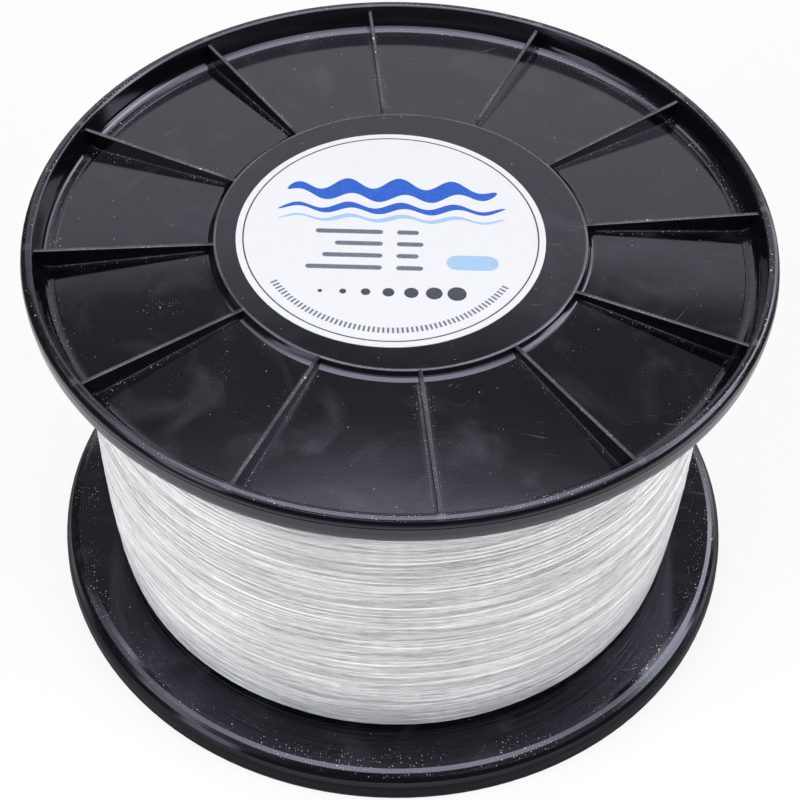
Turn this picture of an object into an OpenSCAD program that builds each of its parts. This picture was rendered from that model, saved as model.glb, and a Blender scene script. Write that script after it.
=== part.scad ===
// Bulk spool of monofilament fishing line.
// Two identical flange mouldings are cemented over the ends of a drum, and an arbor tube lines the hole
// that a spindle runs in. The line fills the space between the flanges: its inner layers are one solid,
// and its last pass is wound over them, turn by turn.
// Z runs along the spool's axis, with z = 0 on the crest of the lower lip. Sizes are in millimetres.

/* [Flanges] */
// Diameter over a flange's rim
flange_d = 190; // [176:1:220]
// Height of the spool, from the lower lip's crest to the upper lip's crest
spool_h = 116.5; // [90:0.5:150]
// Depth of a flange at its rim, from the lip's crest to the face against the line
flange_depth = 10; // [9:0.5:12]
// How much the web is dished outwards between the rim and the hub
web_dish = 2.8; // [1:0.1:3]
// Thickness of the web
web_wall = 3.3; // [2.5:0.1:3.6]
// Width of the lip at the bottom of its sloping inner wall
lip_w = 5.3; // [5:0.1:8]
// Width of the lip at its crest
lip_crest_w = 3; // [2.9:0.1:3.5]
// Radius of the lip's inner corner
lip_inner_r = 1.2; // [0.5:0.1:1.3]
// Radius of the lip's outer corner
lip_outer_r = 1.9; // [0.8:0.1:1.9]
// Radius of the fillet at the foot of the lip
lip_fillet_r = 3; // [1:0.1:3.2]
// Radius of the rim's corner on the line's side
rim_corner_r = 4.8; // [2:0.1:5]
// Depth of the mould's parting line below the crest
parting_depth = 2.5; // [2:0.1:4]
// How far the rim's wall tapers in on each side of the parting line
rim_draft = 0.1; // [0.05:0.01:0.12]

/* [Ribs] */
// Number of radial ribs on a flange
rib_count = 12; // [6:1:18]
// Thickness of a rib along its top edge
rib_w = 1.15; // [1:0.05:2]
// Draft of a rib's sides, in degrees
rib_draft = 1.5; // [0.5:0.25:3]
// Depth of a rib's top edge below the crest, at the rim
rib_drop = 1.4; // [1:0.1:2.2]

/* [Hub] */
// Radius of the raised hub plate
hub_r = 47.2; // [47:0.2:52]
// Depth of the hub plate below the lip's crest
hub_drop = 2.25; // [1.5:0.05:2.5]
// Thickness of the hub plate
hub_wall = 3; // [2.5:0.1:4]
// Width of the hub plate's sloping edge
hub_slope = 0.9; // [0.9:0.1:2]
// Radius of the cove at the foot of the hub plate
hub_cove_r = 2.4; // [1:0.1:2.4]
// Number of webs that brace the arbor boss inside the drum
brace_count = 6; // [3:1:12]

/* [Core] */
// Outer diameter of the drum
drum_d = 90; // [84:1:90]
// Wall of the drum
drum_wall = 3; // [2:0.1:4]
// Outer diameter of the arbor tube
arbor_d = 20; // [18:0.5:28]
// Bore of the arbor tube
arbor_bore = 16; // [10:0.5:16]

/* [Line] */
// Diameter of the line
line_d = 0.7; // [0.5:0.05:1]
// Depth of the wound line below the rim, at mid height
line_depth = 13; // [8:0.5:24]
// How much the wound line falls away towards the flanges
line_crown = 2.5; // [1:0.1:4]
// Radius of the wound line's corner at each flange
line_corner_r = 1.5; // [0.5:0.1:2.5]
// Turns in the last pass of the line
turns = 24; // [12:1:24]
// Clear distance from a flange to the last pass
pass_margin = 3.5; // [2:0.1:6]

/* [Label] */
// Diameter of the label
label_d = 78; // [60:1:84]
// Thickness of the label
label_t = 0.2; // [0.15:0.05:0.4]
// How far the label was stuck off the spool's axis
label_offset = 2.6; // [0:0.1:3]
// Direction of that offset, in degrees from the first rib
label_offset_angle = 190; // [0:5:355]

/* [Hidden] */
$fn = 180;

plastic_black = "#1c1c20";
plastic_natural = "#c9c7bd";
line_clear = "#d6d9d8";
tape_amber = "#c8a96a";
paper_white = "#eff0f4";

// Levels of a flange, measured down from its lip's crest
flange_r = flange_d / 2;
floor_at_rim = flange_depth - web_wall;
floor_at_hub = floor_at_rim - web_dish;
face_at_hub = flange_depth - web_dish;
seat_depth = hub_drop + hub_wall;
spigot_l = 9;
boss_l = 16;
spigot_depth = seat_depth + spigot_l;
boss_depth = seat_depth + boss_l;

// Radii of a flange
lip_in_r = flange_r - lip_crest_w;
lip_foot_r = flange_r - lip_w;
hub_foot_r = hub_r + hub_slope;
seat_play = 0.1;
glue_gap = 0.05;
drum_r = drum_d / 2;
drum_in_r = drum_r - drum_wall;
socket_r = drum_r + seat_play;
spigot_r = drum_in_r - seat_play;
spigot_wall = 2.5;
spigot_root_r = 1;
arbor_r = arbor_d / 2;
boss_wall = 4;
boss_r = arbor_r + boss_wall;
boss_root_r = 1.5;
tube_edge_r = 0.6;
hub_edge_r = 0.7;

// The mould's rim insert leaves a step in the web, and its parting line a fine ridge round the rim
step_r = lip_foot_r - 2.7;
step_h = 0.15;
step_depth = floor_at_hub + (floor_at_rim - floor_at_hub) * (step_r - hub_foot_r) / (lip_foot_r - hub_foot_r);
ridge_h = 0.2;
ridge_foot_r = flange_r - 0.08;

// A rib reaches into the hub plate, the lip and the web, so that they join as one moulding
rib_edge_r = 0.35;
rib_lap = 0.5;
rib_root = 1.2;

// A brace reaches into the plate, the boss and the spigot, and stops short of the ends of these two
brace_w = 2;
brace_lap = 1;
brace_short_boss = 2;
brace_short_spigot = 3;

// The space between the flanges, as the line fills it
mid_z = spool_h / 2;
face_z = mid_z - flange_depth;
pack_r = flange_r - line_depth - line_d;
crown_r = (face_z * face_z + line_crown * line_crown) / (2 * line_crown);
// The web's slope, which the pack's ends follow
web_slope = web_dish / (flange_r - socket_r);

// The start tape lies on the drum, under the first turns
tape_w = 19;
tape_t = 0.15;
tape_angle = 75;
tape_z = mid_z - face_z + 12;

// The last pass: rings a turn, sides a ring, and the bends where it comes out and goes in again
rings = 24;
sides = 6;
bend_r = 1;
bend_rings = 3;
start_angle = 200;
pass_low = mid_z - face_z + pass_margin;
pass_pitch = 2 * (face_z - pass_margin) / turns;
pocket_d = 1.3;

// ---- Curves ----

function unit(v) = v / norm(v);

// Points of the arc that rounds corner b between its neighbours a and c
function corner_arc(a, b, c, r, steps = 6) =
    let (
        u = unit(a - b),
        v = unit(c - b),
        half = acos(u * v) / 2,
        centre = b + unit(u + v) * r / sin(half),
        from = b + u * r / tan(half) - centre,
        turn = (180 - 2 * half) * sign(v[0] * u[1] - v[1] * u[0])
    )
    [for (i = [0:steps])
        let (t = turn * i / steps)
        centre + [from[0] * cos(t) - from[1] * sin(t), from[0] * sin(t) + from[1] * cos(t)]];

// Outline through corners given as [x, y, radius]; a radius of 0 keeps the corner sharp
function rounded(corners) =
    let (n = len(corners), at = [for (p = corners) [p[0], p[1]]])
    [for (i = [0:n - 1], p = corners[i][2] > 0
            ? corner_arc(at[(i + n - 1) % n], at[i], at[(i + 1) % n], corners[i][2])
            : [at[i]]) p];

// ---- Flange ----

// Half section of a flange, with its crest at z = 0 and the line below
flange_corners = [
    [lip_in_r, 0, lip_inner_r],
    [flange_r - 2 * rim_draft, 0, lip_outer_r],
    [ridge_foot_r, ridge_h - parting_depth, 0],
    [flange_r, -parting_depth, 0],
    [ridge_foot_r, -ridge_h - parting_depth, 0],
    [flange_r - 2 * rim_draft, -flange_depth, rim_corner_r],
    [socket_r, -face_at_hub, 0],
    [socket_r, -seat_depth, 0],
    [spigot_r, -seat_depth, 0],
    [spigot_r, -spigot_depth, tube_edge_r],
    [spigot_r - spigot_wall, -spigot_depth, tube_edge_r],
    [spigot_r - spigot_wall, -seat_depth, spigot_root_r],
    [boss_r, -seat_depth, boss_root_r],
    [boss_r, -boss_depth, tube_edge_r],
    [arbor_r + glue_gap, -boss_depth, 0],
    [arbor_r + glue_gap, -hub_drop, 0],
    [hub_r, -hub_drop, hub_edge_r],
    [hub_foot_r, -floor_at_hub, hub_cove_r],
    [step_r, -step_depth, 0],
    [step_r + step_h, step_h - step_depth, 0],
    [lip_foot_r, step_h - floor_at_rim, lip_fillet_r]
];

// A rib's cross-section, with its rounded top edge at the origin and drafted sides below
module rib_section() {
    root_w = rib_w + 2 * flange_depth * tan(rib_draft);
    polygon(rounded([[-rib_w / 2, 0, rib_edge_r], [rib_w / 2, 0, rib_edge_r],
                     [root_w / 2, -flange_depth, 0], [-root_w / 2, -flange_depth, 0]]));
}

// A rib is that section drawn along its rising top edge, cut off by its side view
module rib() {
    inner = [hub_r - rib_lap, -hub_drop];
    outer = [lip_in_r, -rib_drop];
    rise = atan2(outer[1] - inner[1], outer[0] - inner[0]);
    intersection() {
        rotate([90, 0, 0])
            linear_extrude(flange_depth, center = true)
                polygon([[inner[0], 0], [outer[0], 0], [outer[0], -floor_at_rim - rib_root],
                         [inner[0], -floor_at_hub - rib_root]]);
        translate([inner[0], 0, inner[1]])
            rotate([90, 0, 90])
                rotate([-rise, 0, 0])
                    translate([0, 0, -rib_lap])
                        linear_extrude(flange_r)
                            rib_section();
    }
}

// A brace runs from the arbor boss to the spigot, under the hub plate
module brace() {
    inner = boss_r - brace_lap;
    outer = spigot_r - brace_lap;
    rotate([90, 0, 0])
        linear_extrude(brace_w, center = true)
            polygon([[inner, brace_lap - seat_depth], [outer, brace_lap - seat_depth],
                     [outer, brace_short_spigot - spigot_depth], [inner, brace_short_boss - boss_depth]]);
}

// One flange moulding, crest up
module flange() {
    rotate_extrude()
        polygon(rounded(flange_corners));
    for (i = [0:rib_count - 1])
        rotate([0, 0, i * 360 / rib_count])
            rib();
    for (i = [0:brace_count - 1])
        rotate([0, 0, i * 360 / brace_count])
            brace();
}

module upper_flange() {
    color(plastic_black)
        translate([0, 0, spool_h])
            flange();
}

module lower_flange() {
    color(plastic_black)
        rotate([180, 0, 0])
            flange();
}

// ---- Core ----

module tube(r_out, r_in, z_low, z_high) {
    translate([0, 0, z_low])
        difference() {
            cylinder(r = r_out, h = z_high - z_low);
            translate([0, 0, -1])
                cylinder(r = r_in, h = z_high - z_low + 2);
        }
}

module core_drum() {
    color(plastic_black)
        tube(drum_r, drum_in_r, seat_depth, spool_h - seat_depth);
}

module arbor_tube() {
    color(plastic_natural)
        tube(arbor_r, arbor_bore / 2, hub_drop, spool_h - hub_drop);
}

// Strip of tape, or with a gap round it the recess that it leaves in the line
module tape_strip(gap = 0) {
    end_angle = gap / drum_r * 180 / PI;
    rotate([0, 0, -end_angle])
        translate([0, 0, tape_z - gap])
            rotate_extrude(angle = tape_angle + 2 * end_angle)
                translate([drum_r + glue_gap - gap, 0])
                    square([tape_t + 2 * gap, tape_w + 2 * gap]);
}

module start_tape() {
    color(tape_amber)
        tape_strip();
}

// ---- Line ----

// Radius of the packed line's surface at a height
function pack_surface(z) =
    pack_r - crown_r + sqrt(crown_r * crown_r - (z - mid_z) * (z - mid_z));

// Half section of the packed line: a crowned outside, and ends that follow the dished webs
module pack_section() {
    half_h = face_z - glue_gap;
    slope_r = flange_r - socket_r;
    corner = [pack_surface(mid_z + face_z), half_h + web_slope * (flange_r - pack_surface(mid_z + face_z))];
    inner = [drum_r + glue_gap, half_h + web_slope * slope_r];
    crown = [for (i = [0:8]) let (z = face_z * 0.9 * (i / 4 - 1)) [pack_surface(mid_z + z), z]];
    upper = corner_arc([crown[8][0], crown[8][1]], corner, inner, line_corner_r);
    lower = corner_arc([inner[0], -inner[1]], [corner[0], -corner[1]], [crown[0][0], crown[0][1]], line_corner_r);
    translate([0, mid_z])
        polygon(concat([inner], [[inner[0], -inner[1]]], lower, crown, upper));
}

// Centre of the line at ring i of the last pass. The straight stretches between rings touch the pack.
function ring_angle(i) = start_angle + 360 * i / rings;
function ring_z(i) = pass_low + pass_pitch * i / rings;
function ring_r(i) = (pack_surface(ring_z(i)) + line_d / 2) / cos(180 / rings);
function outward(i) = [cos(ring_angle(i)), sin(ring_angle(i)), 0];
function along(i) = [-sin(ring_angle(i)), cos(ring_angle(i)), 0];
function on_pass(i) = ring_r(i) * outward(i) + [0, 0, ring_z(i)];

// The bend at ring i that turns the line into the pack, t degrees on; way is 1 forwards and -1 backwards
function bend_normal(i, way, t) = outward(i) * cos(t) + along(i) * way * sin(t);
function on_bend(i, way, t) = on_pass(i) + bend_r * (bend_normal(i, way, t) - outward(i));
function line_end(i, way) = on_bend(i, way, 90) - line_d * outward(i);

last = turns * rings;
bend_steps = [for (k = [1:bend_rings]) 90 * k / bend_rings];
bend_steps_back = [for (k = [0:bend_rings - 1]) bend_steps[bend_rings - 1 - k]];

// The route of the last pass, and the outward normal at each of its points
route = concat(
    [line_end(0, -1)],
    [for (t = bend_steps_back) on_bend(0, -1, t)],
    [for (i = [0:last]) on_pass(i)],
    [for (t = bend_steps) on_bend(last, 1, t)],
    [line_end(last, 1)]);
normals = concat(
    [bend_normal(0, -1, 90)],
    [for (t = bend_steps_back) bend_normal(0, -1, t)],
    [for (i = [0:last]) outward(i)],
    [for (t = bend_steps) bend_normal(last, 1, t)],
    [bend_normal(last, 1, 90)]);

// Tube of sides faces a ring along a route, closed at both ends
module swept_line(points, outwards) {
    n = len(points);
    skin = [for (i = [0:n - 1])
        let (
            forward = unit(points[min(i + 1, n - 1)] - points[max(i - 1, 0)]),
            up = unit(outwards[i] - (outwards[i] * forward) * forward),
            side = cross(forward, up)
        )
        for (k = [0:sides - 1])
            points[i] + line_d / 2 * (cos(360 * k / sides) * up + sin(360 * k / sides) * side)];
    walls = [for (i = [0:n - 2], k = [0:sides - 1])
        let (a = i * sides + k, b = i * sides + (k + 1) % sides)
        each [[a, a + sides, b], [b, a + sides, b + sides]]];
    caps = [for (k = [1:sides - 2])
        each [[0, k, k + 1], [(n - 1) * sides, (n - 1) * sides + k + 1, (n - 1) * sides + k]]];
    polyhedron(skin, concat(walls, caps));
}

// Least clear distance between neighbouring turns, measured on the route's points
turn_gap = min([for (i = [0:last - rings - 2], j = [rings - 1:rings + 1])
    norm(on_pass(i + j) - on_pass(i))]) - line_d;
echo("least gap between the turns of the last pass, mm:", turn_gap);

// Pocket in the pack where the line's end goes in, its floor against the line's end
module end_pocket(i, way) {
    floor_r = ring_r(i) - bend_r - line_d;
    translate([0, 0, ring_z(i)])
        rotate([0, 0, ring_angle(i)])
            translate([floor_r, way * bend_r, 0])
                rotate([0, 90, 0])
                    cylinder(d = pocket_d, h = line_depth, $fn = 24);
}

module line_pack() {
    color(line_clear)
        difference() {
            rotate_extrude()
                pack_section();
            tape_strip(gap = glue_gap);
            end_pocket(0, -1);
            end_pocket(last, 1);
        }
}

module line_turns() {
    color(line_clear)
        swept_line(route, normals);
}

// ---- Label ----

module label() {
    color(paper_white)
        rotate([0, 0, label_offset_angle])
            translate([label_offset, 0, spool_h - hub_drop])
                cylinder(d = label_d, h = label_t);
}

upper_flange();
lower_flange();
core_drum();
arbor_tube();
start_tape();
line_pack();
line_turns();
label();
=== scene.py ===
"""The looks of a bulk spool of clear fishing line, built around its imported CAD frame.

The flanges, drum and arbor are the CAD's own solids with moulded-plastic materials. The label gets its
print, and the line is wound again, strand by strand: a close layer, and passes that cross it up and down.
"""

import math

import bpy
import numpy as np
from mathutils import Matrix, Vector


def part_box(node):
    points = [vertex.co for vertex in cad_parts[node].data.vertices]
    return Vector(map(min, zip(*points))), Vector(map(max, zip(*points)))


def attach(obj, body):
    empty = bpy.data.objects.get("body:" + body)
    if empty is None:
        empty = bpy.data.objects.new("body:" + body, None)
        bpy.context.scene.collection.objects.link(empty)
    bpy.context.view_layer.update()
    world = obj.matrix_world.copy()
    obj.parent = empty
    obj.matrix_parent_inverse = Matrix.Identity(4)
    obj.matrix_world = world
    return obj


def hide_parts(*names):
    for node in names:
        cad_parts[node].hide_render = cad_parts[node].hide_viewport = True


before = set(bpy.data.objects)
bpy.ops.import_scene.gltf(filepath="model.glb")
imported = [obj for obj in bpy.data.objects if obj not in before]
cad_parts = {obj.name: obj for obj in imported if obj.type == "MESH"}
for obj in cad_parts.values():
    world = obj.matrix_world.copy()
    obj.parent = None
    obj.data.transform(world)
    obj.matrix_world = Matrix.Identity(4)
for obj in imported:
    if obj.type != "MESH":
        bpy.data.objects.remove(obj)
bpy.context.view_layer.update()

# ---- Measures, in metres ----

MM = 0.001
SPOOL_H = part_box("upper_flange")[1].z
MID_Z = SPOOL_H / 2
FLANGE_DEPTH = 10 * MM              # from a lip's crest to the face against the line
HALF_WIDTH = MID_Z - FLANGE_DEPTH   # half the width of the winding at the rim
FLANGE_R = 95 * MM
RIB_COUNT = 12                      # ribs of a flange, the first on +X
LINE_R = 0.35 * MM                  # radius of the line
WOUND_R = 82.0 * MM                 # outside of the winding at mid height
WOUND_CROWN = 2.9 * MM              # how much it falls away to the flanges
EDGE_WIDTH = 3 * MM                 # how wide it is rounded off at each flange
EDGE_DROP = 1.6 * MM                # how much it falls away there besides
EDGE_CURVE = 2.5                    # power that keeps most of that fall for the end
DRUM_R = 45.05 * MM                 # inside of the winding
# How much the winding's half width grows for each metre towards the axis, along the dished webs
WEB_SLOPE = (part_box("line_pack")[1].z - SPOOL_H + FLANGE_DEPTH) / (FLANGE_R - DRUM_R)
LABEL_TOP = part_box("label")[1].z
LABEL_CENTRE = (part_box("label")[0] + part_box("label")[1]) / 2

# The spool is seen with its first rib turned a little towards the back
VIEW_TURN = -6.5                    # degrees about Z, for the camera, the lamps and the label's print


# ---- Camera ----

CAMERA_PLACE = Vector((-0.2, -364.4, 453.2)) * MM
CAMERA_ANGLES = (-0.18, 47.75, 1.63)    # azimuth, elevation and roll, in degrees
CAMERA_SENSOR, CAMERA_LENS = 36, 88.59  # width of the sensor and focal length, in millimetres


def add_camera():
    """The camera stands in front of the spool, well above it, and looks down on the label."""
    azimuth, elevation, roll = (math.radians(a) for a in CAMERA_ANGLES)
    right = Vector((math.cos(azimuth), math.sin(azimuth), 0))
    back = Vector((math.sin(azimuth) * math.cos(elevation), -math.cos(azimuth) * math.cos(elevation),
                   math.sin(elevation)))
    up = back.cross(right)
    rolled_right = right * math.cos(roll) + up * math.sin(roll)
    rolled_up = up * math.cos(roll) - right * math.sin(roll)
    pose = Matrix.Translation(CAMERA_PLACE) @ Matrix((rolled_right, rolled_up, back)).transposed().to_4x4()
    data = bpy.data.cameras.new("camera")
    data.sensor_width = CAMERA_SENSOR
    data.lens = CAMERA_LENS
    camera = bpy.data.objects.new("camera", data)
    camera.matrix_world = Matrix.Rotation(math.radians(VIEW_TURN), 4, "Z") @ pose
    bpy.context.scene.collection.objects.link(camera)
    bpy.context.scene.camera = camera


add_camera()


# ---- Small helpers ----

def linear(hex_colour):
    """An sRGB colour such as #1c1c20 as the linear RGBA that the shaders take."""
    parts = [int(hex_colour[i:i + 2], 16) / 255 for i in (1, 3, 5)]
    return (*[c / 12.92 if c <= 0.04045 else ((c + 0.055) / 1.055) ** 2.4 for c in parts], 1.0)


def connect(tree, node, inputs):
    """Gives each socket, by name or number, a value, an output, or a node, whose first output is meant."""
    for key, value in inputs.items():
        if isinstance(value, bpy.types.Node):
            value = value.outputs[0]
        if isinstance(value, bpy.types.NodeSocket):
            tree.links.new(value, node.inputs[key])
        else:
            node.inputs[key].default_value = value


def add(tree, kind, inputs=None, **settings):
    """Adds a node with its settings, and its inputs as connect takes them."""
    made = tree.nodes.new(kind)
    for key, value in settings.items():
        setattr(made, key, value)
    connect(tree, made, inputs or {})
    return made


def new_material(name):
    """A material with only a Principled shader and an output."""
    material = bpy.data.materials.new(name)
    material.use_nodes = True
    tree = material.node_tree
    tree.nodes.clear()
    shader = add(tree, "ShaderNodeBsdfPrincipled")
    add(tree, "ShaderNodeOutputMaterial", {"Surface": shader})
    return material, tree, shader


def millimetres(tree):
    """The surface's own coordinates, with 1 for each millimetre."""
    place = add(tree, "ShaderNodeTexCoord").outputs["Object"]
    return add(tree, "ShaderNodeVectorMath", {0: place, 1: (1 / MM,) * 3}, operation="MULTIPLY")


def mesh_piece(name, points, faces, material, smooth=True):
    """A mesh object that rides on the spool's only body."""
    mesh = bpy.data.meshes.new(name)
    mesh.from_pydata([tuple(p) for p in points], [], [tuple(f) for f in faces])
    mesh.polygons.foreach_set("use_smooth", [smooth] * len(mesh.polygons))
    mesh.materials.append(material)
    mesh.update()
    piece = bpy.data.objects.new(name, mesh)
    bpy.context.scene.collection.objects.link(piece)
    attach(piece, "root")
    return piece


# ---- Materials ----

# Places on a flange, in millimetres from the axis: where each starts, and where it is full
HUB_FOOT = (49, 51)
LIP_FOOT = (83, 88)
RIM = (91, 92.2)
HUB_EDGE = (46.9, 0.35)         # middle and half width of the hub plate's edge, worn and painted paler as sheen
HUB_EDGE_WEAR_AND_SHEEN = 1.6             # wear and painted sheen there, where a rib's top has 1
# Places by a rib, in millimetres from the rib's middle: where each is full, and where it ends
RIB_TOP = (0.9, 1.1)
RIB_LINE = (1.4, 2.2)
RIB_FOOT = (1.2, 4.5)

# Dense drifts of dust on the upper flange's web: centre, then length outward and width, in millimetres
DUST_DRIFTS = [((-60, -19), 11, 5), ((62, -66), 7, 9)]
# Kinds of grain: size of a cell and radius of the largest grain in mm, how rare large grains are, and the
# least share of its size that a grain keeps where no dust gathers
DUST_GRAINS = [(0.8, 0.18, 2.4, 0.0), (4.5, 0.36, 4.5, 0.45)]
GRAIN_EDGE = 0.06               # width of a grain's soft edge in mm


def flange_corners(tree, place, across, turn):
    """The distance from the middle of the nearest rib, in millimetres, and three shares of 1: on the upper
    flange, on its web, and in a corner, which is the foot of a rib or of the lip."""
    from_rib = add(tree, "ShaderNodeMath", {0: turn, 1: math.pi / RIB_COUNT}, operation="PINGPONG")
    from_rib = add(tree, "ShaderNodeMath", {0: from_rib, 1: across}, operation="MULTIPLY")
    on_top = add(tree, "ShaderNodeMath", {0: place.outputs["Z"], 1: MID_Z / MM}, operation="GREATER_THAN")
    on_web = add(tree, "ShaderNodeMapRange", {0: across, 1: HUB_FOOT[0], 2: HUB_FOOT[1]})
    on_web = add(tree, "ShaderNodeMath", {0: on_web, 1: on_top}, operation="MULTIPLY")
    rib_foot = add(tree, "ShaderNodeMapRange", {0: from_rib, 1: RIB_FOOT[0], 2: RIB_FOOT[1], 3: 1.0, 4: 0.0})
    rib_foot = add(tree, "ShaderNodeMath", {0: rib_foot, 1: on_web}, operation="MULTIPLY")
    lip_foot = add(tree, "ShaderNodeMapRange", {0: across, 1: LIP_FOOT[0], 2: LIP_FOOT[1]})
    corner = add(tree, "ShaderNodeMath", {0: rib_foot, 1: lip_foot}, operation="MAXIMUM")
    return from_rib, on_top, on_web, corner


def dust_on_flange(tree, flat, corner, drift, patches):
    """Dust: it gathers in patches of the corners, in the middle of a drift, and in two places that a hand
    missed. Each cell of a pattern holds a grain, which is mostly too small to see."""
    gathered = add(tree, "ShaderNodeMath", {0: corner, 1: patches}, operation="MULTIPLY")
    thin = add(tree, "ShaderNodeMapRange", {0: drift, 1: 0.5, 2: 0.74, 3: 0.08, 4: 0.7})
    gathered = add(tree, "ShaderNodeMath", {0: gathered, 1: thin}, operation="MAXIMUM")
    for centre, length, width in DUST_DRIFTS:
        apart = add(tree, "ShaderNodeVectorMath", {0: flat, 1: (*centre, 0)}, operation="SUBTRACT")
        outward = math.atan2(centre[1], centre[0])
        apart = add(tree, "ShaderNodeMapping", {0: apart, "Rotation": (0, 0, -outward),
                                                "Scale": (1 / length, 1 / width, 1)})
        apart = add(tree, "ShaderNodeVectorMath", {0: apart}, operation="LENGTH").outputs["Value"]
        dense = add(tree, "ShaderNodeMapRange", {0: apart, 1: 0.2, 2: 1.0, 3: 1.0, 4: 0.0})
        gathered = add(tree, "ShaderNodeMath", {0: gathered, 1: dense}, operation="MAXIMUM")
    dust = 0.0
    for cell, largest, power, least in DUST_GRAINS:
        cells = add(tree, "ShaderNodeTexVoronoi", {"Vector": flat, "Scale": 1 / cell},
                    voronoi_dimensions="2D")
        luck = add(tree, "ShaderNodeSeparateColor", {0: cells.outputs["Color"]})
        grain = add(tree, "ShaderNodeMath", {0: luck, 1: power}, operation="POWER")
        grain = add(tree, "ShaderNodeMath", {0: grain, 1: largest / cell}, operation="MULTIPLY")
        share = add(tree, "ShaderNodeMath", {0: gathered, 1: least}, operation="MAXIMUM")
        grain = add(tree, "ShaderNodeMath", {0: grain, 1: share}, operation="MULTIPLY")
        inside = add(tree, "ShaderNodeMath", {0: grain, 1: cells.outputs["Distance"]}, operation="SUBTRACT")
        speck = add(tree, "ShaderNodeMapRange", {0: inside, 1: 0.0, 2: GRAIN_EDGE / cell})
        dust = add(tree, "ShaderNodeMath", {0: dust, 1: speck}, operation="MAXIMUM")
    return dust


def haze_wear_and_sheen(tree, flat, across, from_rib, on_top, on_web, patches):
    """Haze: a thin film of dust and finger grease, with a line of it at the foot of each rib. Wear and
    painted
    sheen: a paler tint on the ribs' tops and the hub plate's edge, which stand out and are rubbed first, and
    which also stands in for part of their highlights. Both are finely mottled."""
    film = add(tree, "ShaderNodeTexNoise", {"Vector": flat, "Scale": 1 / 22, "Detail": 4, "Distortion": 1.2})
    film = add(tree, "ShaderNodeMapRange", {0: film, 1: 0.54, 2: 0.95})
    rib_line = add(tree, "ShaderNodeMapRange", {0: from_rib, 1: RIB_LINE[0], 2: RIB_LINE[1], 3: 0.25, 4: 0.0})
    rib_line = add(tree, "ShaderNodeMath", {0: rib_line, 1: on_web}, operation="MULTIPLY")
    film = add(tree, "ShaderNodeMath", {0: film, 1: rib_line}, operation="MAXIMUM")
    mottle = add(tree, "ShaderNodeTexNoise", {"Vector": flat, "Scale": 1 / 0.5, "Detail": 2})
    mottle = add(tree, "ShaderNodeMapRange", {0: mottle, 1: 0.35, 2: 0.65, 3: 0.6})
    haze = add(tree, "ShaderNodeMath", {0: film, 1: mottle}, operation="MULTIPLY")
    rib_top = add(tree, "ShaderNodeMapRange", {0: from_rib, 1: RIB_TOP[0], 2: RIB_TOP[1], 3: 1.0, 4: 0.0})
    rib_top = add(tree, "ShaderNodeMath", {0: rib_top, 1: on_web}, operation="MULTIPLY")
    hub_edge = add(tree, "ShaderNodeMath", {0: across, 1: HUB_EDGE[0], 2: HUB_EDGE[1]}, operation="COMPARE")
    hub_edge = add(tree, "ShaderNodeMath", {0: hub_edge, 1: on_top}, operation="MULTIPLY")
    hub_edge = add(tree, "ShaderNodeMath", {0: hub_edge, 1: HUB_EDGE_WEAR_AND_SHEEN}, operation="MULTIPLY")
    wear_and_sheen = add(tree, "ShaderNodeMath", {0: rib_top, 1: hub_edge}, operation="MAXIMUM")
    wear_and_sheen = add(tree, "ShaderNodeMath", {0: wear_and_sheen, 1: patches}, operation="MULTIPLY")
    wear_and_sheen = add(tree, "ShaderNodeMath", {0: wear_and_sheen, 1: mottle}, operation="MULTIPLY")
    return haze, wear_and_sheen


def hair_scratches(tree, flat):
    """Hair lines about 8 mm long, in a few patches where the spool was slid about."""
    bend = add(tree, "ShaderNodeTexNoise", {"Vector": flat, "Scale": 1 / 45, "Detail": 1}).outputs["Color"]
    bent = add(tree, "ShaderNodeVectorMath", {0: bend, 1: (60, 60, 0), 2: flat}, operation="MULTIPLY_ADD")
    turned = add(tree, "ShaderNodeMapping", {0: bent, "Rotation": (0, 0, 0.5), "Scale": (1 / 8, 1 / 0.5, 1)})
    streak = add(tree, "ShaderNodeTexNoise", {"Vector": turned, "Scale": 1.0, "Detail": 1.0},
                 noise_dimensions="2D")
    streak = add(tree, "ShaderNodeMapRange", {0: streak, 1: 0.74, 2: 0.82})
    patch = add(tree, "ShaderNodeTexNoise", {"Vector": flat, "Scale": 1 / 26, "Detail": 1})
    patch = add(tree, "ShaderNodeMapRange", {0: patch, 1: 0.56, 2: 0.66})
    return add(tree, "ShaderNodeMath", {0: streak, 1: patch}, operation="MULTIPLY")


def rubbed_rim(tree, place, across, turn):
    """Rubbed streaks along the rim, about 20 mm long and 0.4 mm wide."""
    along = add(tree, "ShaderNodeMath", {0: turn, 1: FLANGE_R / MM / 20}, operation="MULTIPLY")
    along = add(tree, "ShaderNodeCombineXYZ", {0: along, 1: across, 2: place.outputs["Z"]})
    along = add(tree, "ShaderNodeVectorMath", {0: along, 1: (1, 1 / 0.4, 1 / 0.4)}, operation="MULTIPLY")
    rub = add(tree, "ShaderNodeTexNoise", {"Vector": along, "Scale": 1.0, "Detail": 2})
    rub = add(tree, "ShaderNodeMapRange", {0: rub, 1: 0.45, 2: 0.75})
    on_rim = add(tree, "ShaderNodeMapRange", {0: across, 1: RIM[0], 2: RIM[1]})
    return add(tree, "ShaderNodeMath", {0: rub, 1: on_rim}, operation="MULTIPLY")


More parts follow.
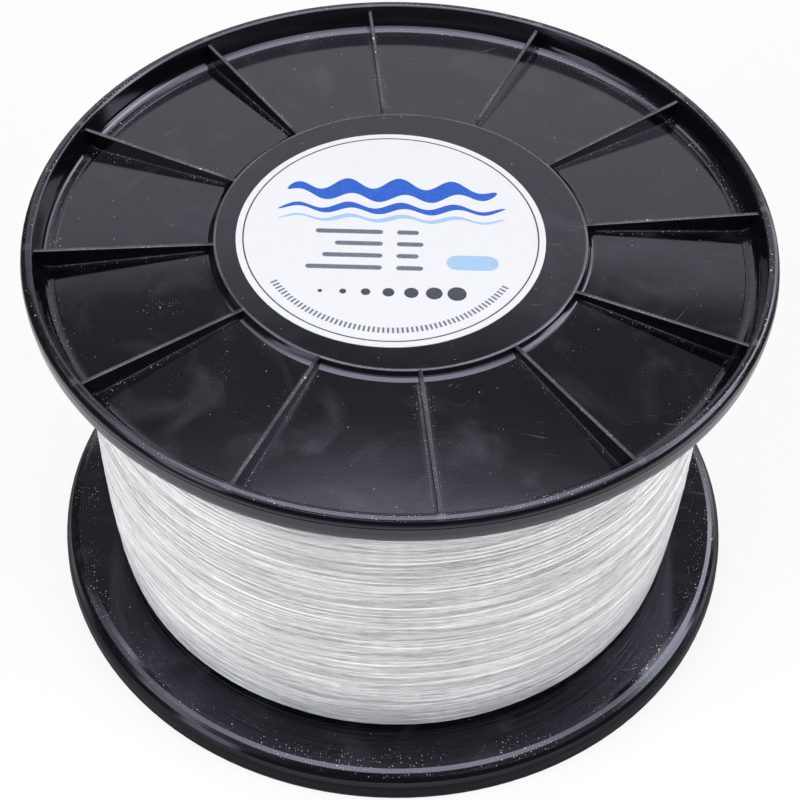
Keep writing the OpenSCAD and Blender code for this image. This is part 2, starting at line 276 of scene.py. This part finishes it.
def moulded_polystyrene():
    """Black high-impact polystyrene, injection moulded: a deep gloss over faint waves of shrinkage. What
    faces up carries dust, thickest at the feet of the ribs and of the lip, a little haze, some wear with a
    painted sheen on the ribs' tops and the hub plate's edge, and a few hair scratches. The rims are rubbed in
    streaks along their length."""
    material, tree, shader = new_material("moulded_black_polystyrene")
    mm = millimetres(tree)
    place = add(tree, "ShaderNodeSeparateXYZ", {0: mm})
    flat = add(tree, "ShaderNodeVectorMath", {0: mm, 1: (1, 1, 0)}, operation="MULTIPLY")
    across = add(tree, "ShaderNodeVectorMath", {0: flat}, operation="LENGTH").outputs["Value"]
    turn = add(tree, "ShaderNodeMath", {0: place.outputs["Y"], 1: place.outputs["X"]}, operation="ARCTAN2")
    normal = add(tree, "ShaderNodeNewGeometry").outputs["Normal"]
    facing_up = add(tree, "ShaderNodeSeparateXYZ", {0: normal}).outputs["Z"]
    facing_up = add(tree, "ShaderNodeMapRange", {0: facing_up, 1: 0.7, 2: 0.97})

    drift = add(tree, "ShaderNodeTexNoise", {"Vector": flat, "Scale": 1 / 17, "Detail": 3})
    patches = add(tree, "ShaderNodeMapRange", {0: drift, 1: 0.36, 2: 0.56, 3: 0.4})
    from_rib, on_top, on_web, corner = flange_corners(tree, place, across, turn)
    dust = dust_on_flange(tree, flat, corner, drift, patches)
    haze, wear_and_sheen = haze_wear_and_sheen(tree, flat, across, from_rib, on_top, on_web, patches)
    scratch = hair_scratches(tree, flat)
    dust, haze, wear_and_sheen, scratch = (add(tree, "ShaderNodeMath", {0: amount, 1: facing_up}, operation="MULTIPLY")
                                 for amount in (dust, haze, wear_and_sheen, scratch))
    rubbed = rubbed_rim(tree, place, across, turn)

    tint = linear("#09090c")
    # The wear tint is also a painted sheen on the ribs' tops and the hub plate's edge
    for amount, share, colour in ((haze, 0.3, "#6c6d76"), (wear_and_sheen, 0.3, "#8a8a90"), (scratch, 0.35, "#8a8a94"),
                                  (dust, 1.0, "#dcdce0")):
        amount = add(tree, "ShaderNodeMath", {0: amount, 1: share}, operation="MULTIPLY")
        tint = add(tree, "ShaderNodeMix", {0: amount, 6: tint, 7: linear(colour)},
                   data_type="RGBA").outputs[2]

    # Gloss: clear where clean, dulled by the haze, the wear and sheen mark, the rubbing, the dust and the
    # scratches
    cloud = add(tree, "ShaderNodeTexNoise", {"Vector": mm, "Scale": 1 / 30, "Detail": 3})
    rough = add(tree, "ShaderNodeMapRange", {0: cloud, 1: 0.3, 2: 0.7, 3: 0.07, 4: 0.11})
    for amount, more in ((haze, 0.12), (wear_and_sheen, 0.2), (rubbed, 0.12), (dust, 0.4), (scratch, 0.3)):
        rough = add(tree, "ShaderNodeMath", {0: amount, 1: more, 2: rough}, operation="MULTIPLY_ADD")

    # Shrinkage waves 16 mm apart, a fine moulded skin, the rubbed streaks, and grains that stand up
    waves = add(tree, "ShaderNodeTexNoise", {"Vector": mm, "Scale": 1 / 16, "Detail": 1})
    skin = add(tree, "ShaderNodeTexNoise", {"Vector": mm, "Scale": 1 / 0.8, "Detail": 2})
    relief = normal
    for height, depth in ((waves, 0.05), (skin, 0.003), (rubbed, 0.01), (dust, 0.08)):
        relief = add(tree, "ShaderNodeBump", {"Height": height, "Distance": depth * MM, "Strength": 1.0,
                                              "Normal": relief})
    connect(tree, shader, {"Base Color": tint, "Roughness": rough, "Normal": relief, "IOR": 1.6,
                           "Specular Tint": linear("#dddff8")})
    return material


def extruded_polypropylene():
    """Natural polypropylene, extruded as a tube: milky, waxy, with faint die lines along its length."""
    material, tree, shader = new_material("extruded_natural_polypropylene")
    mm = millimetres(tree)
    along = add(tree, "ShaderNodeVectorMath", {0: mm, 1: (1 / 0.6, 1 / 0.6, 1 / 60)}, operation="MULTIPLY")
    die = add(tree, "ShaderNodeTexNoise", {"Vector": along, "Scale": 1.0, "Detail": 2})
    colour = add(tree, "ShaderNodeMix", {0: die, 6: linear("#bdbbb1"), 7: linear("#d2d0c6")},
                 data_type="RGBA").outputs[2]
    relief = add(tree, "ShaderNodeBump", {"Height": die, "Distance": 0.03 * MM, "Strength": 1.0})
    connect(tree, shader, {"Base Color": colour, "Normal": relief, "Roughness": 0.42, "IOR": 1.49})
    return material


def creped_tape():
    """Masking tape: creped paper, whose wrinkles run across the strip every 0.7 mm."""
    material, tree, shader = new_material("creped_masking_tape")
    mm = millimetres(tree)
    crepe = add(tree, "ShaderNodeTexNoise", {"Vector": mm, "Scale": 1 / 0.7, "Detail": 3})
    colour = add(tree, "ShaderNodeMix", {0: crepe, 6: linear("#b8955a"), 7: linear("#d6b87c")},
                 data_type="RGBA").outputs[2]
    relief = add(tree, "ShaderNodeBump", {"Height": crepe, "Distance": 0.08 * MM, "Strength": 1.0})
    connect(tree, shader, {"Base Color": colour, "Normal": relief, "Roughness": 0.7})
    return material


def coated_paper():
    """Coated label paper, calendered: cool white and almost smooth, with faint fibre clouds 5 mm wide."""
    material, tree, shader = new_material("coated_label_paper")
    mm = millimetres(tree)
    clouds = add(tree, "ShaderNodeTexNoise", {"Vector": mm, "Scale": 1 / 5, "Detail": 4})
    colour = add(tree, "ShaderNodeMix", {0: clouds, 6: linear("#e9eaee"), 7: linear("#f0f1f5")},
                 data_type="RGBA").outputs[2]
    fibre = add(tree, "ShaderNodeTexNoise", {"Vector": mm, "Scale": 1 / 0.5, "Detail": 3})
    relief = add(tree, "ShaderNodeBump", {"Height": fibre, "Distance": 0.006 * MM, "Strength": 1.0})
    connect(tree, shader, {"Base Color": colour, "Normal": relief, "Roughness": 0.5})
    return material


def offset_ink(name, hex_colour, thin_colour):
    """Offset printing ink on coated paper: an even colour that the paper's fibres break up very slightly."""
    material, tree, shader = new_material(name)
    mm = millimetres(tree)
    mottle = add(tree, "ShaderNodeTexNoise", {"Vector": mm, "Scale": 1 / 0.6, "Detail": 3})
    thin = add(tree, "ShaderNodeMapRange", {0: mottle, 1: 0.5, 2: 0.8})
    colour = add(tree, "ShaderNodeMix", {0: thin, 6: linear(hex_colour), 7: linear(thin_colour)},
                 data_type="RGBA").outputs[2]
    connect(tree, shader, {"Base Color": colour, "Roughness": 0.42})
    return material


# Painted shade and reflection of the black flanges in the line, as a cool grey: how far from their faces that
# starts, and where it is full
FLANGE_PAINTED_SHADE = (21, 5)          # in millimetres
FLANGE_PAINTED_SHADE_SHARE = 0.5                # how much of the colour it is at most


def drawn_nylon(name, dark, pale):
    """Clear nylon monofilament, extruded and drawn: in bulk it scatters to a silvery white, light soaks in
    between the strands, and each strand keeps a hard gloss. Short glints along the strands are painted
    highlights in the colour. Towards the flanges a cool grey is painted in, as the shade and reflection of
    their black plastic in the line."""
    material, tree, shader = new_material(name)
    place = add(tree, "ShaderNodeSeparateXYZ", {0: millimetres(tree)})
    angle = add(tree, "ShaderNodeMath", {0: place.outputs["Y"], 1: place.outputs["X"]}, operation="ARCTAN2")
    arc = add(tree, "ShaderNodeMath", {0: angle, 1: WOUND_R / MM}, operation="MULTIPLY")
    wound = add(tree, "ShaderNodeCombineXYZ", {0: arc, 1: place.outputs["Z"]})
    # The strands lean a little, this way and that, over about 25 mm
    lean = add(tree, "ShaderNodeVectorMath", {0: wound, 1: (1 / 25, 1 / 12, 1)}, operation="MULTIPLY")
    lean = add(tree, "ShaderNodeTexNoise", {"Vector": lean, "Scale": 1.0, "Detail": 1})
    leaning = add(tree, "ShaderNodeVectorMath", {0: lean, 1: (0, 2.4, 0), 2: wound}, operation="MULTIPLY_ADD")
    # Painted glints: the colour goes paler in short streaks less than one strand high and about 6 mm long,
    # which are also a fine bump
    stretched = add(tree, "ShaderNodeVectorMath", {0: leaning, 1: (1 / 6, 1 / 0.45, 1)}, operation="MULTIPLY")
    painted_glints = add(tree, "ShaderNodeTexNoise", {"Vector": stretched, "Scale": 1.0, "Detail": 2},
                 noise_dimensions="2D")
    mixed = add(tree, "ShaderNodeMapRange", {0: painted_glints, 1: 0.3, 2: 0.72})
    # The paler colour is that of the painted glints
    colour = add(tree, "ShaderNodeMix", {0: mixed, 6: linear(dark), 7: linear(pale)},
                 data_type="RGBA").outputs[2]
    level = add(tree, "ShaderNodeMath", {0: place.outputs["Z"], 1: MID_Z / MM}, operation="SUBTRACT")
    level = add(tree, "ShaderNodeMath", {0: level}, operation="ABSOLUTE")
    start, full = (HALF_WIDTH / MM - from_face for from_face in FLANGE_PAINTED_SHADE)
    painted_flange_shade = add(tree, "ShaderNodeMapRange", {0: level, 1: start, 2: full, 4: FLANGE_PAINTED_SHADE_SHARE},
                    interpolation_type="SMOOTHSTEP")
    # Painted shade and reflection of the flanges: the colour goes to a cool grey towards them
    colour = add(tree, "ShaderNodeMix", {0: painted_flange_shade, 6: colour, 7: linear("#8c93a6")},
                 data_type="RGBA").outputs[2]
    relief = add(tree, "ShaderNodeBump", {"Height": painted_glints, "Distance": 0.1 * MM, "Strength": 1.0})
    connect(tree, shader, {"Base Color": colour, "Normal": relief, "Roughness": 0.22, "IOR": 1.53,
                           "Specular IOR Level": 0.9, "Subsurface Weight": 0.7,
                           "Subsurface Radius": (1.0, 1.0, 1.0), "Subsurface Scale": 1.5 * MM})
    return material


POLYSTYRENE = moulded_polystyrene()
CAD_FINISH = {
    "upper_flange": POLYSTYRENE,
    "lower_flange": POLYSTYRENE,
    "core_drum": POLYSTYRENE,
    "arbor_tube": extruded_polypropylene(),
    "start_tape": creped_tape(),
    "label": coated_paper(),
}
for node_name, finish in CAD_FINISH.items():
    for material_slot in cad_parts[node_name].material_slots:
        material_slot.material = finish


# ---- The label's print ----
# Generic shapes: wave bands, rows of bars, a line gauge of growing dots, an arc of ticks and a thin ring.

INK_HEIGHT = 0.03 * MM          # top of the ink over the paper
INK_ROOT = 0.02 * MM            # how deep its solid starts inside the paper
BAND_TIP = 0.02                 # half the thickness of a wave band's ends, in millimetres


def bar(x0, x1, y, height):
    """A bar with round ends, as its lower and upper edges."""
    r = height / 2
    ends = [(x0 + r - r * math.cos(t), r * math.sin(t)) for t in np.radians([8, 30, 60, 90])]
    ends += [(x1 - r + r * math.cos(t), r * math.sin(t)) for t in np.radians([90, 60, 30, 8])]
    return [(x, y - h) for x, h in ends], [(x, y + h) for x, h in ends]


def dot(x, y, r):
    """A disc, as its lower and upper edges."""
    steps = np.radians(np.linspace(4, 176, 25))
    return ([(x - r * math.cos(t), y - r * math.sin(t)) for t in steps],
            [(x - r * math.cos(t), y + r * math.sin(t)) for t in steps])


def wave_band(half_length, y, amplitude, wavelength, thick, steps=121):
    """A rolling band that thins to a point at both ends."""
    low, high = [], []
    for x in np.linspace(-half_length, half_length, steps):
        middle = y + amplitude * math.sin(2 * math.pi * x / wavelength)
        half = thick / 2 * math.sqrt(max(0.0, 1 - (x / half_length) ** 2)) + BAND_TIP
        low.append((x, middle - half))
        high.append((x, middle + half * (1 + 0.5 * math.cos(2 * math.pi * x / wavelength))))
    return low, high


def ring(r0, r1, steps=181):
    """A closed ring, as its inner and outer edges."""
    turn = np.linspace(0, 2 * math.pi, steps)
    return ([(r0 * math.cos(t), r0 * math.sin(t)) for t in turn],
            [(r1 * math.cos(t), r1 * math.sin(t)) for t in turn])


def tick(angle, r0, r1, width):
    """A short line that points at the label's centre."""
    t = math.radians(angle)
    out, side = (math.cos(t), math.sin(t)), (-math.sin(t) * width / 2, math.cos(t) * width / 2)
    return ([(r0 * out[0] + side[0], r0 * out[1] + side[1]), (r1 * out[0] + side[0], r1 * out[1] + side[1])],
            [(r0 * out[0] - side[0], r0 * out[1] - side[1]), (r1 * out[0] - side[0], r1 * out[1] - side[1])])


def print_piece(name, strips, ink):
    """Thin closed solids, one for each strip, given as two rows of points in millimetres on the label."""
    turn = math.radians(VIEW_TURN)
    points, faces = [], []
    for low, high in strips:
        n, start = len(low), len(points)
        for z in (LABEL_TOP - INK_ROOT, LABEL_TOP + INK_HEIGHT):
            for row in (low, high):
                for x, y in row:
                    points.append((LABEL_CENTRE.x + (x * math.cos(turn) - y * math.sin(turn)) * MM,
                                   LABEL_CENTRE.y + (x * math.sin(turn) + y * math.cos(turn)) * MM, z))
        low0, high0, low1, high1 = (start + k * n for k in range(4))
        for i in range(n - 1):
            faces += [(low1 + i, low1 + i + 1, high1 + i + 1, high1 + i),
                      (low0 + i, high0 + i, high0 + i + 1, low0 + i + 1),
                      (low0 + i, low0 + i + 1, low1 + i + 1, low1 + i),
                      (high0 + i, high1 + i, high1 + i + 1, high0 + i + 1)]
        last = n - 1
        faces += [(low0, low1, high1, high0), (low0 + last, high0 + last, high1 + last, low1 + last)]
    piece = mesh_piece(name, points, faces, ink, smooth=False)
    return piece


def print_label():
    """Lays out the print, in millimetres from the label's centre, with Y towards its top."""
    print_piece("print_blue_waves",
                [wave_band(27, 16.5, 1.5, 13.5, 5.6), wave_band(29, 9.8, 1.1, 13.5, 2.2)],
                offset_ink("offset_ink_blue", "#1556c0", "#3d78d6"))
    print_piece("print_pale_blue",
                [wave_band(29, 6.0, 0.9, 13.5, 1.3), bar(14, 27, -9.5, 5.2)],
                offset_ink("offset_ink_pale_blue", "#a6c8ec", "#c2daf3"))
    rows = []
    for i, (left, right) in enumerate([(-19, -2), (-14, -2), (-17, -2), (-21, -2)]):
        rows += [bar(left, right, 1.0 - 4.3 * i, 1.5), bar(1.5, 7 + 1.2 * (i % 2), 1.0 - 4.3 * i, 1.5)]
    ticks = [tick(angle, 32.6, 34.4, 0.5) for angle in np.linspace(212, 328, 59)]
    print_piece("print_grey_rows", rows + ticks, offset_ink("offset_ink_grey", "#5d6674", "#8a929e"))
    gauge = [dot(-17 + 5.6 * i, -20.5, 0.55 + 0.3 * i) for i in range(7)]
    print_piece("print_dark_gauge", gauge + [ring(37.0, 37.35)],
                offset_ink("offset_ink_dark", "#262b36", "#4a505c"))


print_label()


# ---- The wound line ----

RINGS = 96                      # rings of a strand in one turn
STRAND_SIDES = 6
CLOSE_PITCH = 0.71 * MM         # pitch of the close layer
CLOSE_START = 40                # where it starts, in degrees
CLOSE_STRAY = 0.06 * MM         # how far its turns stray from their even pitch
# The passes that cross it, up or down: turns, starting angle, and mean height over it in mm, under it if less
# than 0, so that such a pass shows only where it rises
PASSES_UP = [(24, 0, -0.05), (24, 120, -0.07), (24, 240, -0.04), (12, 60, -0.02), (7, 200, 0.03)]
PASSES_DOWN = [(24, 90, -0.05), (24, 210, -0.07), (24, 330, -0.04), (12, 150, -0.02), (9, 20, 0.03)]
PASS_STRAY = 0.28 * MM          # how far a pass strays from its even climb
STRAY_WAVES = 5                 # how many waves of straying add up
STRAY_RATES = (0.07, 2.6)       # how many of such a wave are in a turn, at least and at most
RIPPLE = 0.08 * MM              # how much a strand rises and sinks between its neighbours
RIPPLE_WAVES = 7                # how many waves of that add up
RIPPLE_RATES = (3, 14)          # how many of such a wave are in a turn, at least and at most
DIVE = 14                       # rings over which a pass comes up out of the layers, and goes in again
DIVE_DEPTH = 2.5 * MM
CLOSE_DEPTH = 0.3 * MM          # how far the close layer lies within the winding's outer limit
BODY_DEPTH = 0.3 * MM           # how far the solid inner layers lie under the close layer's outside
WINDING_SEED = 11


def wound_radius(z):
    """Outer limit of the winding at height z: crowned, and rounded off at each flange."""
    u = np.clip(np.abs(z - MID_Z) / HALF_WIDTH, 0, 1)
    edge = np.clip((np.abs(z - MID_Z) - (HALF_WIDTH - EDGE_WIDTH)) / EDGE_WIDTH, 0, 1)
    return WOUND_R - WOUND_CROWN * u ** 2 - EDGE_DROP * edge ** EDGE_CURVE


def wander(length, rng, amplitude, waves, rates):
    """A smooth random drift along a strand, in metres: a sum of sines, each with a number of waves in a turn
    that lies between the two rates."""
    t = np.arange(length) / RINGS * 2 * math.pi
    drift = np.zeros(length)
    for _ in range(waves):
        drift += np.sin(t * rng.uniform(*rates) + rng.uniform(0, 2 * math.pi)) / waves ** 0.5
    return amplitude * drift


def strand(angle, z_from, z_to, turns, rise, rng, stray):
    """Centre line of one pass, from one flange to the other, and the direction out of the winding."""
    n = int(turns * RINGS) + 1
    t = np.arange(n)
    theta = math.radians(angle) + t * 2 * math.pi / RINGS
    from_end = np.minimum(t, n - 1 - t)
    z = z_from + (z_to - z_from) * t / (n - 1)
    z += wander(n, rng, stray, STRAY_WAVES, STRAY_RATES) * np.clip(from_end / RINGS, 0, 1)
    dive = np.clip(1 - from_end / DIVE, 0, 1) ** 2 * DIVE_DEPTH
    r = wound_radius(z) - LINE_R - CLOSE_DEPTH + rise - dive
    r += wander(n, rng, RIPPLE, RIPPLE_WAVES, RIPPLE_RATES)
    out = np.stack([np.cos(theta), np.sin(theta), np.zeros(n)], 1)
    return out * r[:, None] + np.stack([np.zeros(n), np.zeros(n), z], 1), out


def strand_mesh(centres, out):
    """Rings of points round a centre line, with the faces of the tube that they make."""
    forward = np.gradient(centres, axis=0)
    forward /= np.linalg.norm(forward, axis=1)[:, None]
    up = out - (out * forward).sum(1)[:, None] * forward
    up /= np.linalg.norm(up, axis=1)[:, None]
    side = np.cross(forward, up)
    turn = np.arange(STRAND_SIDES) * 2 * math.pi / STRAND_SIDES
    rings = (centres[:, None] + LINE_R * (np.cos(turn)[None, :, None] * up[:, None]
                                          + np.sin(turn)[None, :, None] * side[:, None]))
    n = len(centres)
    a = np.arange(n - 1)[:, None] * STRAND_SIDES + np.arange(STRAND_SIDES)[None]
    b = np.arange(n - 1)[:, None] * STRAND_SIDES + (np.arange(STRAND_SIDES)[None] + 1) % STRAND_SIDES
    walls = np.stack([a, a + STRAND_SIDES, b + STRAND_SIDES, b], 2).reshape(-1, 4)
    caps = [list(range(STRAND_SIDES)), [(n - 1) * STRAND_SIDES + k for k in reversed(range(STRAND_SIDES))]]
    return rings.reshape(-1, 3), walls, caps


def wind_line():
    """The close layer, and the passes that climb and fall across it, as one mesh of tubes."""
    rng = np.random.default_rng(WINDING_SEED)
    low, high = MID_Z - HALF_WIDTH + LINE_R, MID_Z + HALF_WIDTH - LINE_R
    passes = [strand(CLOSE_START, low, high, (high - low) / CLOSE_PITCH, 0, rng, CLOSE_STRAY)]
    for turns, angle, rise in PASSES_UP:
        passes.append(strand(angle, low, high, turns, rise * MM, rng, PASS_STRAY))
    for turns, angle, rise in PASSES_DOWN:
        passes.append(strand(angle, high, low, turns, rise * MM, rng, PASS_STRAY))
    points, faces, start = [], [], 0
    for centres, out in passes:
        rings, walls, caps = strand_mesh(centres, out)
        points.append(rings)
        faces += (walls + start).tolist() + [[start + k for k in cap] for cap in caps]
        start += len(rings)
    piece = mesh_piece("line_strands", np.concatenate(points), faces,
                       drawn_nylon("drawn_nylon_strands", "#e4e6e6", "#fdfefe"))
    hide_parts("line_turns")


BODY_STEPS = 192                # steps round the axis
BODY_RINGS = 97                 # rings of points from flange to flange
BODY_PLAY = 0.1 * MM            # between the body's ends and the webs


def line_body():
    """The inner layers as one turned solid, just under the close layer, that fits the webs' slope."""
    half = HALF_WIDTH - BODY_PLAY
    outer = [(float(wound_radius(MID_Z + z)) - CLOSE_DEPTH - BODY_DEPTH, MID_Z + z)
             for z in np.linspace(-1, 1, BODY_RINGS) * half]
    end = half + WEB_SLOPE * (outer[0][0] - DRUM_R)
    profile = outer + [(DRUM_R, MID_Z + end), (DRUM_R, MID_Z - end)]
    steps, n = BODY_STEPS, len(profile)
    points = [(r * math.cos(2 * math.pi * k / steps), r * math.sin(2 * math.pi * k / steps), z)
              for k in range(steps) for r, z in profile]
    faces = [(k * n + i, (k + 1) % steps * n + i, (k + 1) % steps * n + (i + 1) % n, k * n + (i + 1) % n)
             for k in range(steps) for i in range(n)]
    piece = mesh_piece("line_body", points, faces, drawn_nylon("drawn_nylon_layers", "#d6d9da", "#f4f6f6"))
    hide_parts("line_pack")


wind_line()
line_body()


# ---- Floor and light ----

FLOOR_HALF = 4.0                # half the floor's side
FLOOR_GLOW = 0.85               # share of the floor's white that is its own; the rest keeps the shadow
FLOOR_PAINTED_SHADOW = (0.1, 0.15)       # metres from the axis over which the painted shadow under the spool ends, as reflections see it
FLOOR_PAINTED_LIGHT = (0.22, 0.32)        # metres from the axis over which the painted lit ring of the floor ends, as reflections see it
FLOOR_FAR = 3 * FLOOR_PAINTED_LIGHT[1]    # where all of the floor's white is its own
DARK = 0.085                    # brightness of the dark studio in reflections
FILL = 0.19                     # even light from all round
LAMP_COLOUR = linear("#fcfdff")[:3]
# The lamps: azimuth from the view's right and elevation in degrees, distance, width and height in metres, and
# what the face shows, with 1 as white
LAMPS = {
    "overhead_soft_box": (90, 90, 1.5, 1.1, 1.75, 1.15),
    "left_soft_box": (-152, 22, 1.6, 1.3, 1.0, 6.5),
    "right_soft_box": (-21, 22, 1.6, 1.3, 1.0, 5.8),
}
# What reflections see, in degrees: brightness, then the outside and inside of the low, high, left and right
# edges. Low and high are counted over the spool from the horizon behind it, left and right from its middle.
PANELS = [
    (0.6, (-21, -19), (46.5, 43.5), (-37, -33), (50, 44)),    # backdrop, low
    (0.5, (10, 36), (46.5, 43.5), (-37, -33), (50, 44)),      # backdrop, upper part
    (0.2, (43.5, 46.5), (62, 57), (-37, -33), (50, 44)),      # ceiling between backdrop and soft box
    (5.0, (56, 62.5), (128, 105), (-52, -8), (54, 8)),        # overhead soft box
    (1.4, (-20, -18), (58, 38), (30, 36), (60, 50)),          # right soft box, lower part
    (5.0, (30, 50), (104, 80), (32, 36), (52, 47)),           # right soft box, upper part
    (5.0, (58, 66), (112, 92), (40, 50), (82, 70)),           # right soft box, where it turns to the front
    (2.0, (98, 104), (180, 179), (-61, -55), (-38, -44)),     # left soft box, in front
]


def add_floor():
    """A plain white floor with a faint soft shadow. It is bright to the camera. To reflections it glows
    with painted light in a ring round the spool, with a painted shadow under the spool and dark further
    off. From below it is clear, so that the underside can be seen."""
    material = bpy.data.materials.new("white_studio_floor")
    material.use_nodes = True
    tree = material.node_tree
    tree.nodes.clear()
    place = add(tree, "ShaderNodeTexCoord").outputs["Object"]
    away = add(tree, "ShaderNodeVectorMath", {0: place}, operation="LENGTH").outputs["Value"]
    # What reflections see of the floor: a painted shadow under the spool, a painted lit ring round it, and
    # dark further off
    painted_floor_light = add(tree, "ShaderNodeMapRange", {0: away, 1: FLOOR_PAINTED_SHADOW[0], 2: FLOOR_PAINTED_SHADOW[1], 3: DARK},
                   interpolation_type="SMOOTHSTEP")
    painted_floor_light = add(tree, "ShaderNodeMapRange",
                   {0: away, 1: FLOOR_PAINTED_LIGHT[0], 2: FLOOR_PAINTED_LIGHT[1], 3: painted_floor_light, 4: DARK},
                   interpolation_type="SMOOTHSTEP")
    rays = add(tree, "ShaderNodeLightPath")
    strength = add(tree, "ShaderNodeMix", {0: rays.outputs["Is Camera Ray"], 2: painted_floor_light, 3: 1.0})
    lit = add(tree, "ShaderNodeBsdfDiffuse", {"Color": linear("#f4f4f4")})
    glow = add(tree, "ShaderNodeEmission", {"Color": (1, 1, 1, 1), "Strength": strength})
    seen = add(tree, "ShaderNodeMath", {0: rays.outputs["Is Camera Ray"], 1: rays.outputs["Is Glossy Ray"]},
               operation="MAXIMUM")
    seen = add(tree, "ShaderNodeMath", {0: seen, 1: rays.outputs["Is Transmission Ray"]}, operation="MAXIMUM")
    share = add(tree, "ShaderNodeMapRange", {0: away, 1: FLOOR_PAINTED_LIGHT[1], 2: FLOOR_FAR, 3: FLOOR_GLOW})
    share = add(tree, "ShaderNodeMath", {0: seen, 1: share}, operation="MULTIPLY")
    surface = add(tree, "ShaderNodeMixShader", {0: share, 1: lit, 2: glow})
    below = add(tree, "ShaderNodeNewGeometry").outputs["Backfacing"]
    clear = add(tree, "ShaderNodeBsdfTransparent")
    surface = add(tree, "ShaderNodeMixShader", {0: below, 1: surface, 2: clear})
    add(tree, "ShaderNodeOutputMaterial", {"Surface": surface})
    mesh = bpy.data.meshes.new("floor")
    corners = [(x * FLOOR_HALF, y * FLOOR_HALF, 0) for x, y in ((-1, -1), (1, -1), (1, 1), (-1, 1))]
    mesh.from_pydata(corners, [], [(0, 1, 2, 3)])
    mesh.materials.append(material)
    floor = bpy.data.objects.new("floor", mesh)
    bpy.context.scene.collection.objects.link(floor)


def soft_box(name, azimuth, elevation, distance, width, height, radiance):
    """A rectangular studio lamp that faces the spool."""
    data = bpy.data.lights.new(name, "AREA")
    data.shape = "RECTANGLE"
    data.size, data.size_y = width, height
    data.energy = radiance * math.pi * width * height
    data.color = LAMP_COLOUR
    lamp = bpy.data.objects.new(name, data)
    a, e = math.radians(azimuth + VIEW_TURN), math.radians(elevation)
    toward = Vector((math.cos(e) * math.cos(a), math.cos(e) * math.sin(a), math.sin(e)))
    across = Vector((-math.sin(a), math.cos(a), 0))
    facing = Matrix((across, toward.cross(across), toward)).transposed().to_4x4()
    lamp.matrix_world = Matrix.Translation(Vector((0, 0, MID_Z)) + toward * distance) @ facing
    lamp.visible_camera = False
    lamp.visible_glossy = False    # reflections see the world's panels instead
    bpy.context.scene.collection.objects.link(lamp)


def add_world():
    """White to the camera. Reflections see a studio that is drawn here in place of the lamps: a backdrop and
    soft boxes with soft edges, in the dark of the room. The rest of the light is even and weak."""
    world = bpy.data.worlds.new("studio")
    bpy.context.scene.world = world
    world.use_nodes = True
    tree = world.node_tree
    tree.nodes.clear()
    direction = add(tree, "ShaderNodeTexCoord").outputs["Generated"]
    a = math.radians(VIEW_TURN)
    rightward = add(tree, "ShaderNodeVectorMath", {0: direction, 1: (math.cos(a), math.sin(a), 0)},
                    operation="DOT_PRODUCT").outputs["Value"]
    backward = add(tree, "ShaderNodeVectorMath", {0: direction, 1: (-math.sin(a), math.cos(a), 0)},
                   operation="DOT_PRODUCT").outputs["Value"]
    upward = add(tree, "ShaderNodeSeparateXYZ", {0: direction}).outputs["Z"]
    # Angle from the horizon behind the spool, up and over towards the camera, and angle to the right of that
    over = add(tree, "ShaderNodeMath", {0: upward, 1: backward}, operation="ARCTAN2")
    side = add(tree, "ShaderNodeMath", {0: rightward}, operation="ARCSINE")
    studio = DARK
    for brightness, *edges in PANELS:
        panel = brightness
        for angle, span in zip((over, over, side, side), edges):
            outside, inside = (math.radians(degrees) for degrees in span)
            edge = add(tree, "ShaderNodeMapRange", {0: angle, 1: outside, 2: inside},
                       interpolation_type="SMOOTHSTEP")
            panel = add(tree, "ShaderNodeMath", {0: panel, 1: edge}, operation="MULTIPLY")
        studio = add(tree, "ShaderNodeMath", {0: studio, 1: panel}, operation="ADD")
    rays = add(tree, "ShaderNodeLightPath")
    glossy, through = rays.outputs["Is Glossy Ray"], rays.outputs["Is Transmission Ray"]
    shiny = add(tree, "ShaderNodeMath", {0: glossy, 1: through}, operation="MAXIMUM")
    strength = add(tree, "ShaderNodeMix", {0: shiny, 2: FILL, 3: studio})
    strength = add(tree, "ShaderNodeMix", {0: rays.outputs["Is Camera Ray"], 2: strength, 3: 1.0})
    light = add(tree, "ShaderNodeBackground", {"Color": (1, 1, 1, 1), "Strength": strength})
    add(tree, "ShaderNodeOutputWorld", {"Surface": light})


add_floor()
add_world()
for lamp_name, lamp_values in LAMPS.items():
    soft_box(lamp_name, *lamp_values)
bpy.context.scene.view_settings.view_transform = "Standard"
